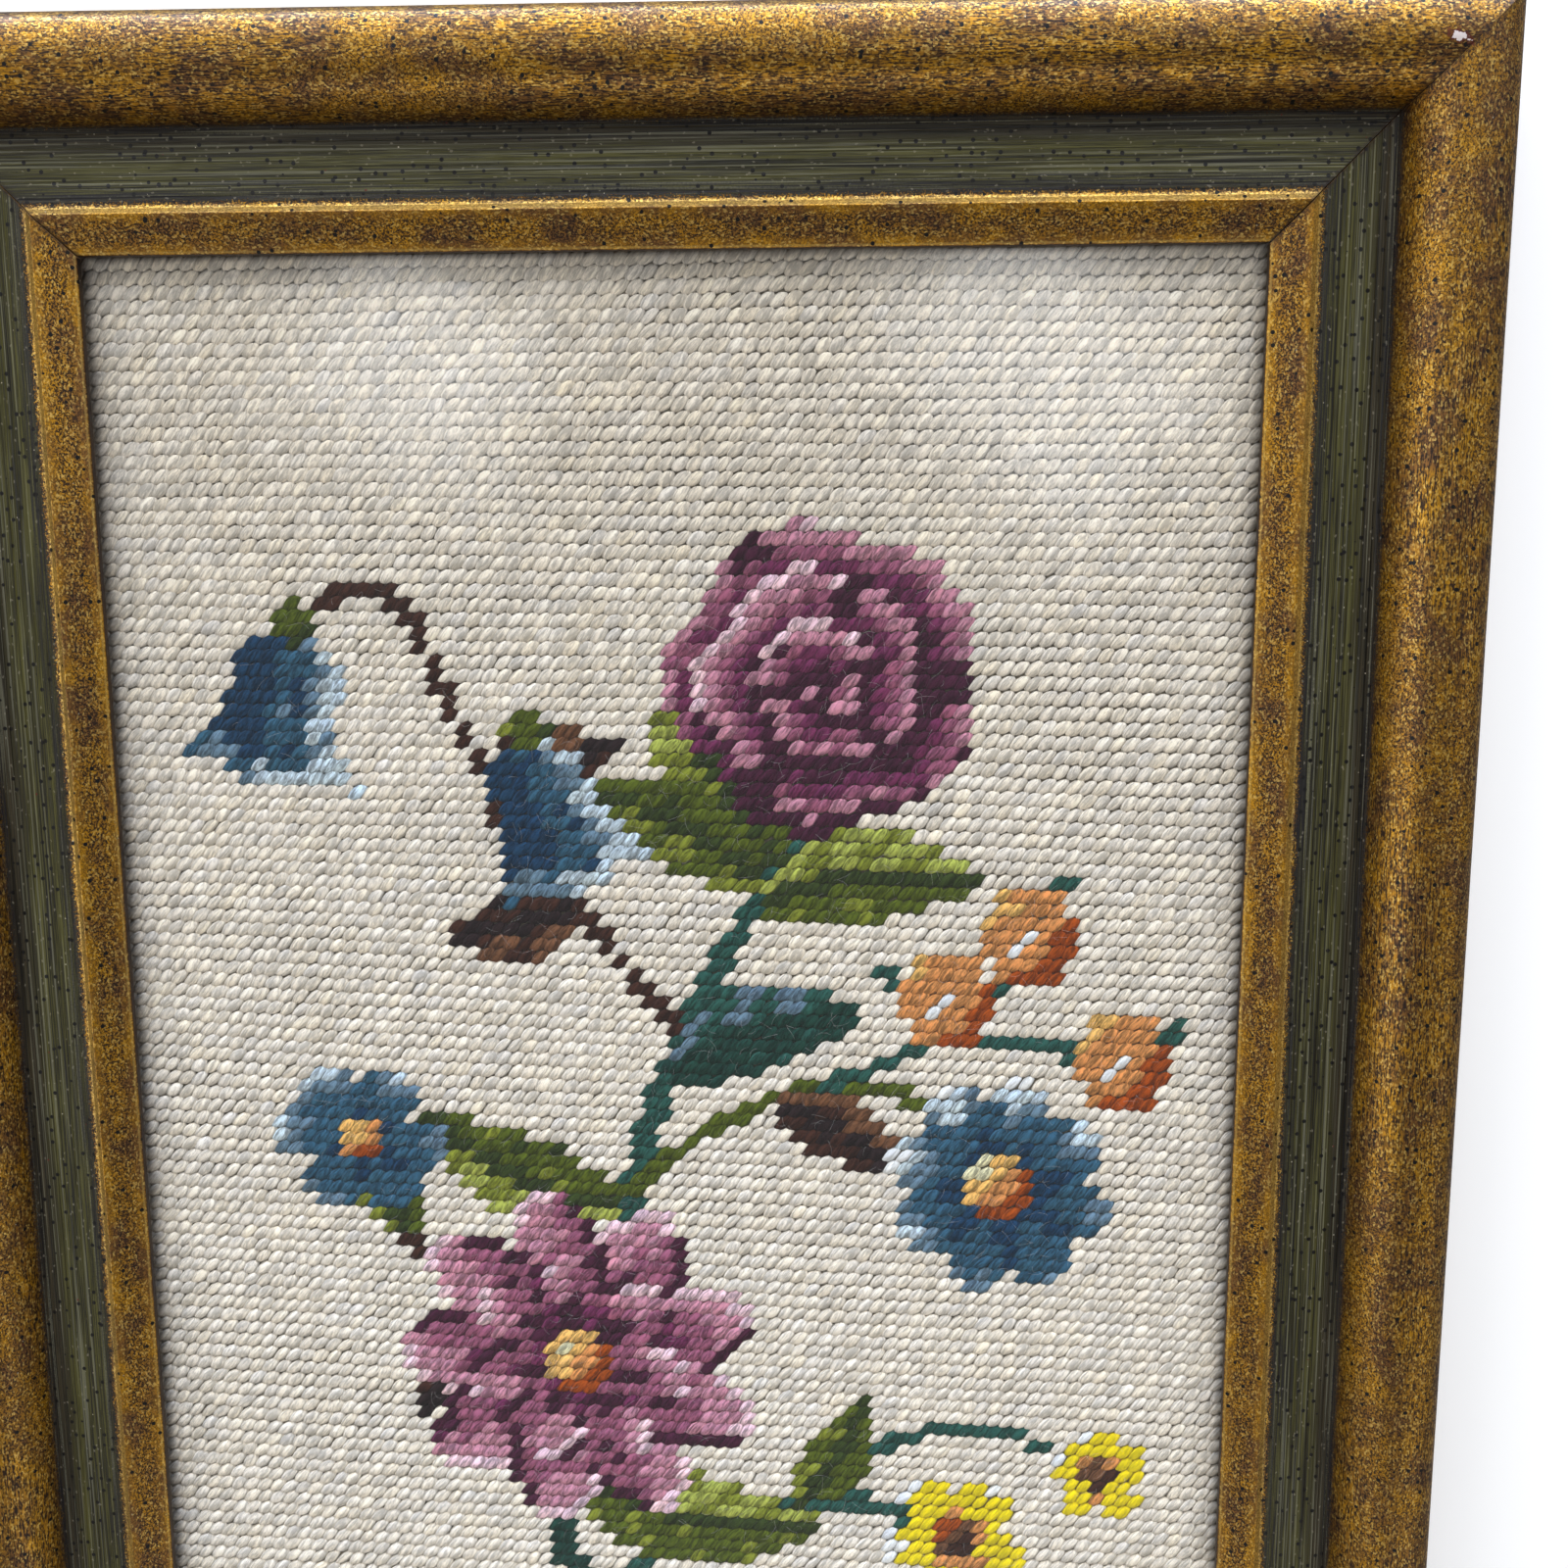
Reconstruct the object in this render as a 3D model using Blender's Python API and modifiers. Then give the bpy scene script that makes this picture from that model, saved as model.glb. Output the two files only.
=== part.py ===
"""Framed needlepoint: a stretched wool canvas under picture glass in a mitred gilt and slate moulding.

The picture lies on its back. X runs across it, Y runs up it, and Z is the way its face looks.
The origin is under the middle of the frame, on the surface that it rests on. Sizes are in metres.
"""

from math import cos, pi, radians, sin

import bmesh
import bpy
from mathutils import Vector

# The opening through which the needlepoint shows
SIGHT_WIDTH = 0.205
SIGHT_HEIGHT = 0.406

# The moulding, from the sight edge outwards: gilt lip, slate panel, gilt roll
LIP_WIDTH = 0.0074
SLATE_WIDTH = 0.0133
ROLL_WIDTH = 0.0173
MOULDING_WIDTH = LIP_WIDTH + SLATE_WIDTH + ROLL_WIDTH
MOULDING_DEPTH = 0.022

# The rebate at the back of the lip, which holds the glass, the needlepoint and the board
REBATE_WIDTH = 0.006
SIDE_CLEARANCE = 0.001
BOARD_RECESS = 0.0024
BOARD_THICKNESS = 0.003
CLOTH_THICKNESS = 0.0025
GLASS_THICKNESS = 0.002
GAP = 0.0003

# Heights above the back, each layer resting on the one before it
CLOTH_BOTTOM = BOARD_RECESS + BOARD_THICKNESS + GAP
GLASS_BOTTOM = CLOTH_BOTTOM + CLOTH_THICKNESS + GAP
REBATE_TOP = GLASS_BOTTOM + GLASS_THICKNESS + GAP

# Heights of the moulding's face above its back
LIP_INNER_EDGE = REBATE_TOP + 0.0012
LIP_OUTER_EDGE = 0.0149
LIP_EDGE_RADIUS = 0.0009
SLATE_INNER = 0.0139
SLATE_OUTER = 0.0132

# The roll rises to its crest, then falls to the outer side
CREST_FROM_VALLEY = 0.0092
ROLL_FOOT_ANGLE = radians(16)
ROLL_SHOULDER_DROP = 0.0085
BACK_CHAMFER = 0.0008

LIP_STEPS = 8
ROLL_STEPS = 18
EDGE_BEVEL = 0.0002


def clear_scene():
    """Empty the scene, so that the model starts from nothing."""
    for old in list(bpy.data.objects):
        bpy.data.objects.remove(old, do_unlink=True)


def finish(name, colour, roughness, metallic=0.0, alpha=1.0):
    """A plain Principled material for one kind of piece."""
    material = bpy.data.materials.new(name)
    material.use_nodes = True
    shader = material.node_tree.nodes["Principled BSDF"]
    shader.inputs["Base Color"].default_value = (*colour, 1.0)
    shader.inputs["Roughness"].default_value = roughness
    shader.inputs["Metallic"].default_value = metallic
    shader.inputs["Alpha"].default_value = alpha
    return material


def arc(centre, radii, start, end, steps):
    """Points on an ellipse about centre, from angle start to angle end, both ends included."""
    turns = [start + (end - start) * step / steps for step in range(steps + 1)]
    return [(centre[0] + radii[0] * cos(turn), centre[1] + radii[1] * sin(turn)) for turn in turns]


def moulding_outline():
    """The moulding's section: x is the distance out from the sight edge, y the height above the back."""
    lip_slope = LIP_OUTER_EDGE - LIP_INNER_EDGE
    lip_turn = (LIP_WIDTH - LIP_EDGE_RADIUS, LIP_OUTER_EDGE - LIP_EDGE_RADIUS)
    lean = lip_slope / LIP_WIDTH
    lip_edge = arc(lip_turn, (LIP_EDGE_RADIUS, LIP_EDGE_RADIUS), pi / 2 + lean, 0, LIP_STEPS)

    valley = LIP_WIDTH + SLATE_WIDTH
    crest = valley + CREST_FROM_VALLEY
    rise = (MOULDING_DEPTH - SLATE_OUTER) / (1 - sin(ROLL_FOOT_ANGLE))
    inner_radii = (CREST_FROM_VALLEY / cos(ROLL_FOOT_ANGLE), rise)
    inner_half = arc((crest, MOULDING_DEPTH - rise), inner_radii, pi - ROLL_FOOT_ANGLE, pi / 2, ROLL_STEPS)
    outer_radii = (MOULDING_WIDTH - crest, ROLL_SHOULDER_DROP)
    outer_half = arc((crest, MOULDING_DEPTH - ROLL_SHOULDER_DROP), outer_radii, pi / 2, 0, ROLL_STEPS)

    lip = [(0, REBATE_TOP), (0, LIP_INNER_EDGE), *lip_edge]
    slate = [(LIP_WIDTH, SLATE_INNER)]
    roll = [*inner_half, *outer_half[1:]]
    back = [
        (MOULDING_WIDTH, BACK_CHAMFER),
        (MOULDING_WIDTH - BACK_CHAMFER, 0),
        (REBATE_WIDTH, 0),
        (REBATE_WIDTH, REBATE_TOP),
    ]
    return lip + slate + roll + back


def mitre(mesh, corner, normal):
    """Saw off what lies beyond the plane through corner, and close the cut face."""
    work = bmesh.new()
    work.from_mesh(mesh)
    whole = work.verts[:] + work.edges[:] + work.faces[:]
    bmesh.ops.bisect_plane(work, geom=whole, dist=1e-7, plane_co=corner, plane_no=normal, clear_outer=True)
    cut = [edge for edge in work.edges if edge.is_boundary]
    bmesh.ops.contextual_create(work, geom=cut)
    work.to_mesh(mesh)
    work.free()


def moulding_stick(name, sight_side, material):
    """A stick of moulding along local Z, sawn at 45 degrees at both ends of its side of the sight."""
    curve = bpy.data.curves.new(name + "_section", "CURVE")
    curve.dimensions = "2D"
    curve.fill_mode = "BOTH"
    outline = moulding_outline()
    spline = curve.splines.new("POLY")
    spline.points.add(len(outline) - 1)
    for point, (out, height) in zip(spline.points, outline):
        point.co = (out, height, 0, 1)
    spline.use_cyclic_u = True
    curve.extrude = sight_side / 2 + 2 * MOULDING_WIDTH

    section = bpy.data.objects.new(name + "_section", curve)
    bpy.context.scene.collection.objects.link(section)
    bpy.context.view_layer.update()
    stick = bpy.data.meshes.new_from_object(section.evaluated_get(bpy.context.evaluated_depsgraph_get()))
    bpy.data.objects.remove(section, do_unlink=True)
    bpy.data.curves.remove(curve)

    work = bmesh.new()
    work.from_mesh(stick)
    bmesh.ops.remove_doubles(work, verts=work.verts, dist=1e-6)
    bmesh.ops.recalc_face_normals(work, faces=work.faces)
    work.to_mesh(stick)
    work.free()

    for end in (-1, 1):
        outward = Vector((-1, 0, end)).normalized()
        corner = Vector((0, 0, end * sight_side / 2)) - outward * (GAP / 2)
        mitre(stick, corner, outward)
    stick.name = name
    stick.materials.clear()
    stick.materials.append(material)
    stick.shade_smooth()
    stick.set_sharp_from_angle(angle=radians(35))
    return stick


def panel(name, bottom, thickness, material, collection):
    """A flat sheet that fills the rebate, with its edges just broken."""
    inset = REBATE_WIDTH - SIDE_CLEARANCE
    bpy.ops.mesh.primitive_cube_add(size=1, location=(0, 0, bottom + thickness / 2))
    sheet = bpy.context.active_object
    sheet.name = name
    sheet.data.name = name
    sheet.scale = (SIGHT_WIDTH + 2 * inset, SIGHT_HEIGHT + 2 * inset, thickness)
    bpy.ops.object.transform_apply(location=False, rotation=False, scale=True)
    for owner in list(sheet.users_collection):
        owner.objects.unlink(sheet)
    collection.objects.link(sheet)
    edges = sheet.modifiers.new("broken edges", "BEVEL")
    edges.width = EDGE_BEVEL
    edges.segments = 1
    sheet.data.materials.append(material)
    return sheet


def build_moulding(collection):
    """Four sticks, each on its own side of the sight with its section's face upwards."""
    gilt = finish("gilt_moulding", (0.28, 0.17, 0.05), 0.42, metallic=0.7)
    short_stick = moulding_stick("short_stick", SIGHT_WIDTH, gilt)
    long_stick = moulding_stick("long_stick", SIGHT_HEIGHT, gilt)
    sides = (
        ("moulding_right", long_stick, 0, (SIGHT_WIDTH / 2, 0, 0)),
        ("moulding_top", short_stick, 90, (0, SIGHT_HEIGHT / 2, 0)),
        ("moulding_left", long_stick, 180, (-SIGHT_WIDTH / 2, 0, 0)),
        ("moulding_bottom", short_stick, 270, (0, -SIGHT_HEIGHT / 2, 0)),
    )
    for name, stick, turn, place in sides:
        side = bpy.data.objects.new(name, stick)
        side.rotation_euler = (pi / 2, 0, radians(turn))
        side.location = place
        collection.objects.link(side)


def build_picture(collection):
    """The board, the stitched canvas and the glass, stacked in the rebate from the back."""
    board = finish("board", (0.42, 0.32, 0.22), 0.85)
    wool = finish("wool", (0.68, 0.63, 0.56), 0.95)
    glass = finish("picture_glass", (0.9, 0.95, 0.93), 0.1, alpha=0.15)
    panel("backing_board", BOARD_RECESS, BOARD_THICKNESS, board, collection)
    panel("needlepoint", CLOTH_BOTTOM, CLOTH_THICKNESS, wool, collection)
    panel("picture_glass", GLASS_BOTTOM, GLASS_THICKNESS, glass, collection)


clear_scene()
framed_needlepoint = bpy.data.collections.new("framed_needlepoint")
bpy.context.scene.collection.children.link(framed_needlepoint)
build_moulding(framed_needlepoint)
build_picture(framed_needlepoint)
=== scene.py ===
"""Framed needlepoint: the looks, worked in the same order as the framer and the stitcher put it together.

Lengths are in metres. X runs across the picture, Y runs up it, and Z is the way its face looks.
"""

import bpy
import numpy as np
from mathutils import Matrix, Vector


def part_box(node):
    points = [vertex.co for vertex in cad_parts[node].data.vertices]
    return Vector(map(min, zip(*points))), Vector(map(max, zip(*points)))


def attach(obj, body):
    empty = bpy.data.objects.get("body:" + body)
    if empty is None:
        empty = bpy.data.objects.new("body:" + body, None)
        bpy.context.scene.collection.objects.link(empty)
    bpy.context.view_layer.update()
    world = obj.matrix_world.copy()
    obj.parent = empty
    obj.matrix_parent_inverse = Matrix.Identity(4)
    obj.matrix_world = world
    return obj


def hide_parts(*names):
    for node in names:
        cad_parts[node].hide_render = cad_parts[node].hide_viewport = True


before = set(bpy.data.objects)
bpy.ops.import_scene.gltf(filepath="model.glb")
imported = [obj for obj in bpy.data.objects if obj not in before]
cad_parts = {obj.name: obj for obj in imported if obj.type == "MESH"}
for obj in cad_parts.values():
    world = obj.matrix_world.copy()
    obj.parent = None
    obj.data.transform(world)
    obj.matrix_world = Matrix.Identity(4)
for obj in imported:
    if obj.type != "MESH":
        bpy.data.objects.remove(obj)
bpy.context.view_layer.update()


# The moulding is one section of soft wood, gessoed and gilt, with a slate panel brushed between lip and roll.
# Four sticks of it are sawn at 45 degrees, glued and nailed at the corners, and each mitre shows a hairline.
MM = 0.001

stick_low, stick_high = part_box("moulding_right")
SIGHT_X = stick_low.x
SIGHT_Y = -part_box("moulding_bottom")[1].y
MOULDING_WIDTH = stick_high.x - stick_low.x
MOULDING_DEPTH = stick_high.z
REBATE_WIDTH = 6 * MM
REBATE_TOP = 10.8 * MM

LIP_WIDTH = 7.4 * MM
LIP_INNER_EDGE = 12.0 * MM
LIP_OUTER_EDGE = 14.9 * MM
LIP_INNER_RADIUS = 0.5 * MM
LIP_OUTER_RADIUS = 0.4 * MM
LIP_CHAMFER = np.radians(33)
VALLEY = 20.7 * MM
SLATE_INNER = 14.2 * MM
SLATE_OUTER = 13.2 * MM
CREST = 29.9 * MM
ROLL_FOOT_ANGLE = np.radians(16)
ROLL_SHOULDER_DROP = 6.5 * MM
ROLL_SHOULDER_POWER = 2.5
BACK_CHAMFER = 0.8 * MM

# The mitre's gap at the sight edge, the lip's outer edge, the valley and the crest: it closes under the roll
MITRE_GAPS = (0.34 * MM, 0.24 * MM, 0.16 * MM, 0.004 * MM)
STICK_STATIONS = 61

# The sticks aren't quite true: slow waves along them, which drift over the section
GILDER_WAVE = 0.05 * MM
GILDER_WAVE_LENGTHS = (0.11, 0.043, 0.019)
GILDER_WAVE_DRIFT = 90

# Each stick's map lies this far from the last one's in the patterns, so that no two sticks are alike
MAP_STEP = 1.7


def linear(colour):
    """A colour from its sRGB hex: each part over 12.92, or raised to 2.4 above the toe, with alpha 1."""
    parts = np.array([int(colour[i : i + 2], 16) for i in (1, 3, 5)]) / 255
    bright = ((parts + 0.055) / 1.055) ** 2.4
    return (*np.where(parts < 0.04045, parts / 12.92, bright), 1.0)


def per(millimetres):
    """A pattern's scale from its real size: how many times it repeats in a metre."""
    return 1000 / millimetres


def add(tree, kind, sockets, **settings):
    """One shader node with its settings: a socket takes a value, an output, or a node's first output."""
    node = tree.nodes.new("ShaderNode" + kind)
    for name, value in settings.items():
        setattr(node, name, value)
    for name, value in sockets.items():
        if isinstance(value, bpy.types.Node):
            value = value.outputs[0]
        if isinstance(value, bpy.types.NodeSocket):
            tree.links.new(value, node.inputs[name])
        else:
            node.inputs[name].default_value = value
    return node


def finish(name):
    """An empty material of that name, with the tree that its nodes go in."""
    material = bpy.data.materials.new(name)
    material.use_nodes = True
    material.node_tree.nodes.clear()
    return material, material.node_tree


def arc(centre, radii, start, end, steps, power=1.0):
    """Points of an ellipse: its centre, plus its radii times the cosine and sine of the turn, to a power."""
    turn = np.linspace(start, end, steps)[:, None]
    round_way = np.hstack([np.cos(turn), np.sin(turn)])
    return np.array(centre) + np.array(radii) * np.sign(round_way) * np.abs(round_way) ** power


def straight(start, end, steps):
    """Points evenly along a line, without its last."""
    share = np.linspace(0, 1, steps, endpoint=False)[:, None]
    return np.array(start) + share * (np.array(end) - np.array(start))


def moulding_section():
    """The section as points of (out, up): straight runs, round edges, the roll as two quarter ellipses."""
    lean = np.arctan2(LIP_OUTER_EDGE - LIP_INNER_EDGE, LIP_WIDTH)
    inner_edge = (LIP_INNER_RADIUS, LIP_INNER_EDGE - LIP_INNER_RADIUS * 0.6)
    drop = LIP_OUTER_EDGE - SLATE_INNER - LIP_OUTER_RADIUS * (1 - np.cos(LIP_CHAMFER))
    chamfer_width = drop / np.tan(LIP_CHAMFER) + LIP_OUTER_RADIUS * np.sin(LIP_CHAMFER)
    outer_edge = (LIP_WIDTH - chamfer_width, LIP_OUTER_EDGE - LIP_OUTER_RADIUS)
    lip_in = arc(inner_edge, [LIP_INNER_RADIUS] * 2, np.pi, np.pi / 2 + lean, 7)
    lip_out = arc(outer_edge, [LIP_OUTER_RADIUS] * 2, np.pi / 2 + lean, np.pi / 2 - LIP_CHAMFER, 7)
    rise = (MOULDING_DEPTH - SLATE_OUTER) / (1 - np.sin(ROLL_FOOT_ANGLE))
    reach = (CREST - VALLEY) / np.cos(ROLL_FOOT_ANGLE)
    shoulder = MOULDING_WIDTH - CREST
    inner_half = arc((CREST, MOULDING_DEPTH - rise), (reach, rise), np.pi - ROLL_FOOT_ANGLE, np.pi / 2, 26)
    outer_centre = (CREST, MOULDING_DEPTH - ROLL_SHOULDER_DROP)
    outer_half = arc(outer_centre, (shoulder, ROLL_SHOULDER_DROP), np.pi / 2, 0, 24, 2 / ROLL_SHOULDER_POWER)
    return np.vstack(
        [
            straight((0, REBATE_TOP), lip_in[0], 2),
            lip_in,
            straight(lip_in[-1], lip_out[0], 10)[1:],
            lip_out,
            straight(lip_out[-1], (LIP_WIDTH, SLATE_INNER), 5)[1:],
            straight((LIP_WIDTH, SLATE_INNER), inner_half[0], 18),
            inner_half,
            outer_half[1:],
            straight(outer_half[-1], (MOULDING_WIDTH, BACK_CHAMFER), 6)[1:],
            straight((MOULDING_WIDTH, BACK_CHAMFER), (MOULDING_WIDTH - BACK_CHAMFER, 0), 1),
            straight((MOULDING_WIDTH - BACK_CHAMFER, 0), (REBATE_WIDTH, 0), 12),
            straight((REBATE_WIDTH, 0), (REBATE_WIDTH, REBATE_TOP), 5),
            straight((REBATE_WIDTH, REBATE_TOP), (0, REBATE_TOP), 3),
        ]
    )


def skin(rings, around):
    """Quads between rings of points, each ring closed: point j of ring i, then j + 1, then those of i + 1."""
    ring, point = np.mgrid[0 : rings - 1, 0:around]
    here, after = ring * around + point, ring * around + (point + 1) % around
    return np.stack([here, after, after + around, here + around], -1).reshape(-1, 4)


def new_piece(name, points, polygons, materials, maps=None, colours=None, finishes=None):
    """A smooth mesh piece at the origin: each array in polygons holds faces of one number of corners."""
    mesh = bpy.data.meshes.new(name)
    mesh.vertices.add(len(points))
    mesh.vertices.foreach_set("co", np.asarray(points, np.float32).ravel())
    corners = np.concatenate([group.ravel() for group in polygons])
    totals = np.concatenate([np.full(len(group), group.shape[1]) for group in polygons])
    mesh.loops.add(len(corners))
    mesh.loops.foreach_set("vertex_index", corners.astype(np.int32))
    mesh.polygons.add(len(totals))
    mesh.polygons.foreach_set("loop_start", np.concatenate([[0], np.cumsum(totals)[:-1]]).astype(np.int32))
    mesh.polygons.foreach_set("loop_total", totals.astype(np.int32))
    if finishes is not None:
        mesh.polygons.foreach_set("material_index", np.asarray(finishes, np.int32))
    mesh.update(calc_edges=True)
    mesh.validate()
    for title, places in (maps or {}).items():
        layer = mesh.uv_layers.new(name=title)
        layer.uv.foreach_set("vector", np.asarray(places, np.float32).ravel())
    if colours is not None:
        layer = mesh.color_attributes.new("wool", "FLOAT_COLOR", "POINT")
        layer.data.foreach_set("color", np.asarray(colours, np.float32).ravel())
    for material in materials:
        mesh.materials.append(material)
    mesh.shade_smooth()
    piece = bpy.data.objects.new(name, mesh)
    bpy.context.scene.collection.objects.link(piece)
    return piece


section = moulding_section()
section_steps = np.hypot(*np.diff(np.vstack([section, section[:1]]), axis=0).T)
girth = np.concatenate([[0], np.cumsum(section_steps)])
FACE_POINTS = int(np.argmax(section[:, 1] <= BACK_CHAMFER))
across_face = section[:FACE_POINTS, 0]
LIP_GIRTH = float(np.interp(LIP_WIDTH, across_face, girth[:FACE_POINTS]))
VALLEY_GIRTH = float(girth[np.argmin(np.abs(across_face - VALLEY))])

# Round the section from the rebate: the middle of the lip's worn face, and the painted highlight line at the
# sight edge
LIP_MIDDLE_GIRTH = (LIP_GIRTH + 0.3 * MM) / 2
SIGHT_HIGHLIGHT_GIRTH = 1.55 * MM


# Gilt is bronze powder in shellac over red bole, toned with umber that was stippled on and partly wiped off,
# so it is gold flakes and brown specks, cloudy, and streaked along the stick where the rag went. The panel is
# olive slate paint, dry-brushed along the stick, browner by the roll, sprayed dark at its edges, spattered;
# by the lip the dark spray is widened to hold painted shade from the lip's step.
UMBER = linear("#25140B")
DARK_GOLD = linear("#331E06")
DULL_GOLD = linear("#875B26")
BRIGHT_GOLD = linear("#C88E0C")
PALE_GOLD = linear("#ECCA70")
BOLE_RED = linear("#5E2016")
SLATE_DARK = linear("#1A180F")
SLATE_LIGHT = linear("#514E25")
SLATE_BROWN = linear("#3A3322")
SLATE_PALE = linear("#8C8A74")
SLATE_EDGE = linear("#1B191C")
SPECK_BLACK = linear("#070605")
SPECK_PALE = linear("#B5AC97")
GESSO = linear("#DDCFCB")
CHIP = (128.3 * MM, 232.3 * MM, 21.6 * MM)
CHIP_TURN = (0.0, 0.0, np.radians(-22))
CHIP_SHAPE = (2.0, 0.75, 4.0)

# Each noise is read this far from the last one's place, and the bake maps keep off the rim of their square
NOISE_STEP = 0.31
BAKE_MARGIN = 0.02


def painted_and_gilt():
    """Both finishes on one surface: the distance round the section says which; a fine spray parts them."""
    material, tree = finish("rubbed gilt and brushed slate paint")
    place = add(tree, "UVMap", {}, uv_map="stick")
    across = add(tree, "SeparateXYZ", {"Vector": place}).outputs["Y"]
    from_mitre = add(tree, "SeparateXYZ", {"Vector": add(tree, "UVMap", {}, uv_map="mitre")})

    # Noise by name: size in mm, times as long along the stick, detail, roughness, and what counts as 0 and 1.
    # A grain of the powder is too fine to show, so grain and flake are drawn 0.3 mm wide
    noises = {
        "grain": (0.36, 1.2, 3.0, 0.85, 0.40, 0.60),
        "streak": (0.30, 9, 3.0, 0.75, 0.42, 0.59),
        "cloud": (6.5, 1.6, 3.0, 0.70, 0.36, 0.64),
        "wiped": (17, 2.5, 2.0, 0.50, 0.42, 0.60),
        "bristle": (0.34, 80, 3.0, 0.80, 0.44, 0.56),
        "band": (1.9, 260, 1.0, 0.50, 0.42, 0.58),
        "ridge": (0.8, 240, 1.0, 0.50, 0.40, 0.60),
        "scratch": (0.55, 420, 1.0, 0.50, 0.63, 0.68),
        "crest": (0.42, 170, 1.0, 0.50, 0.58, 0.66),
        "grit": (0.36, 1.0, 2.0, 0.70, 0.30, 0.70),
        "grime": (1.1, 1.0, 2.0, 0.60, 0.30, 0.70),
    }
    share = {}
    for number, (name, (size, length, detail, rough, low, high)) in enumerate(noises.items()):
        drawn = {"Vector": place, "Location": (0, NOISE_STEP * number, 0), "Scale": (1 / length, 1, 1)}
        drawn = add(tree, "Mapping", drawn)
        pattern = {"Vector": drawn, "Scale": per(size), "Detail": detail, "Roughness": rough}
        noise = add(tree, "TexNoise", pattern, noise_dimensions="2D")
        share[name] = add(tree, "MapRange", {"Value": noise, "From Min": low, "From Max": high})

    # Cells with a number each: the flakes of the powder, and larger flecks where it lies thick or thin
    for name, size, length in (("flake", 0.28, 1.4), ("fleck", 0.7, 1.8)):
        drawn = add(tree, "Mapping", {"Vector": place, "Scale": (1 / length, 1, 1)})
        cells = add(tree, "TexVoronoi", {"Vector": drawn, "Scale": per(size)}, voronoi_dimensions="2D")
        share[name] = add(tree, "SeparateXYZ", {"Vector": cells.outputs["Color"]})

    # Weighted sums of those: stippled and rubbed gilt, and brushed paint
    sums = {
        "stippled": {"grain": 0.50, "flake": 0.40, "fleck": 0.10},
        "rubbed": {"streak": 0.48, "flake": 0.42, "fleck": 0.10},
        "paint": {"bristle": 0.7, "band": 0.3},
    }
    for name, parts in sums.items():
        total = 0.0
        for part, weight in parts.items():
            total = add(tree, "Math", {0: share[part], 1: weight, 2: total}, operation="MULTIPLY_ADD")
        share[name] = total

    # Distances, the last four made uneven by a noise: from the lip's middle, from the painted highlight line
    # at the sight edge, across to the spray's edge and the brushing's, from the mitre, and from the chip
    from_middle = add(tree, "Math", {0: across, 1: LIP_MIDDLE_GIRTH}, operation="SUBTRACT")
    from_middle = add(tree, "Math", {0: from_middle}, operation="ABSOLUTE")
    from_highlight_line = add(tree, "Math", {0: across, 1: SIGHT_HIGHLIGHT_GIRTH}, operation="SUBTRACT")
    from_highlight_line = add(tree, "Math", {0: from_highlight_line}, operation="ABSOLUTE")
    sprayed = add(tree, "Math", {0: share["grit"], 1: 1.6 * MM, 2: across}, operation="MULTIPLY_ADD")
    brushed = add(tree, "Math", {0: share["bristle"], 1: 1.1 * MM, 2: sprayed}, operation="MULTIPLY_ADD")
    grimed = add(tree, "Math", {0: share["grime"], 1: -1.1 * MM, 2: from_mitre}, operation="MULTIPLY_ADD")
    chip = {"Vector": add(tree, "TexCoord", {}).outputs["Object"], "Location": CHIP}
    chip = add(tree, "Mapping", {**chip, "Rotation": CHIP_TURN, "Scale": CHIP_SHAPE}, vector_type="TEXTURE")
    chip = add(tree, "VectorMath", {0: chip}, operation="LENGTH").outputs["Value"]
    chip = add(tree, "Math", {0: share["grime"], 1: 0.9 * MM, 2: chip}, operation="MULTIPLY_ADD")

    # Bands by name: the distance, from what girth, the mm where each starts and ends, and its share at both
    bands = {
        "lip": (across, LIP_GIRTH, 0.0, 0.5, 1.0, 0.0),
        "lip_and_edge": (across, LIP_GIRTH, 0.5, 1.3, 1.0, 0.0),
        # Painted shade, with umber left in the hollow: the roll's foot is darker by the valley
        "foot": (across, VALLEY_GIRTH, 0.0, 1.9, 0.25, 1.0),
        # Painted shade: the lip's inner wall at the sight edge is near black
        "inside": (across, 0, 1.05, 1.3, 0.02, 1.0),
        "worn": (from_middle, 0, 1.5, 2.6, 0.0, 0.35),
        # Painted highlight, with some wear: the lip's outer edge is paler
        "bared_and_highlit": (across, LIP_GIRTH, -1.4, -1.0, 0.0, 0.52),
        # Painted highlight: a pale line along the sight edge
        "sight_highlight": (from_highlight_line, 0, 0.08, 0.26, 0.22, 0.0),
        "by_roll": (across, VALLEY_GIRTH, -5.0, -2.6, 0.0, 1.0),
        # Painted shade with the spray: the dark reaches further out from the lip, as its step shades the
        # panel
        "lip_spray_and_shade": (brushed, LIP_GIRTH, 2.4, 5.0, 0.85, 0.0),
        "roll_spray": (brushed, VALLEY_GIRTH, 0.3, 1.6, 0.0, 1.0),
        "over_lip": (sprayed, LIP_GIRTH, 1.3, 1.6, 0.0, 1.0),
        "under_roll": (sprayed, VALLEY_GIRTH, 0.8, 1.5, 1.0, 0.0),
        "dirt": (grimed, 0, -0.4, 0.6, 0.55, 0.0),
        "bole": (chip, 0, 1.5, 1.8, 0.8, 0.0),
        "gesso": (chip, 0, 1.15, 1.25, 1.0, 0.0),
    }
    for name, (distance, start, first, last, low, high) in bands.items():
        reach = {"Value": distance, "From Min": start + first * MM, "From Max": start + last * MM}
        share[name] = add(tree, "MapRange", {**reach, "To Min": low, "To Max": high})
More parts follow.
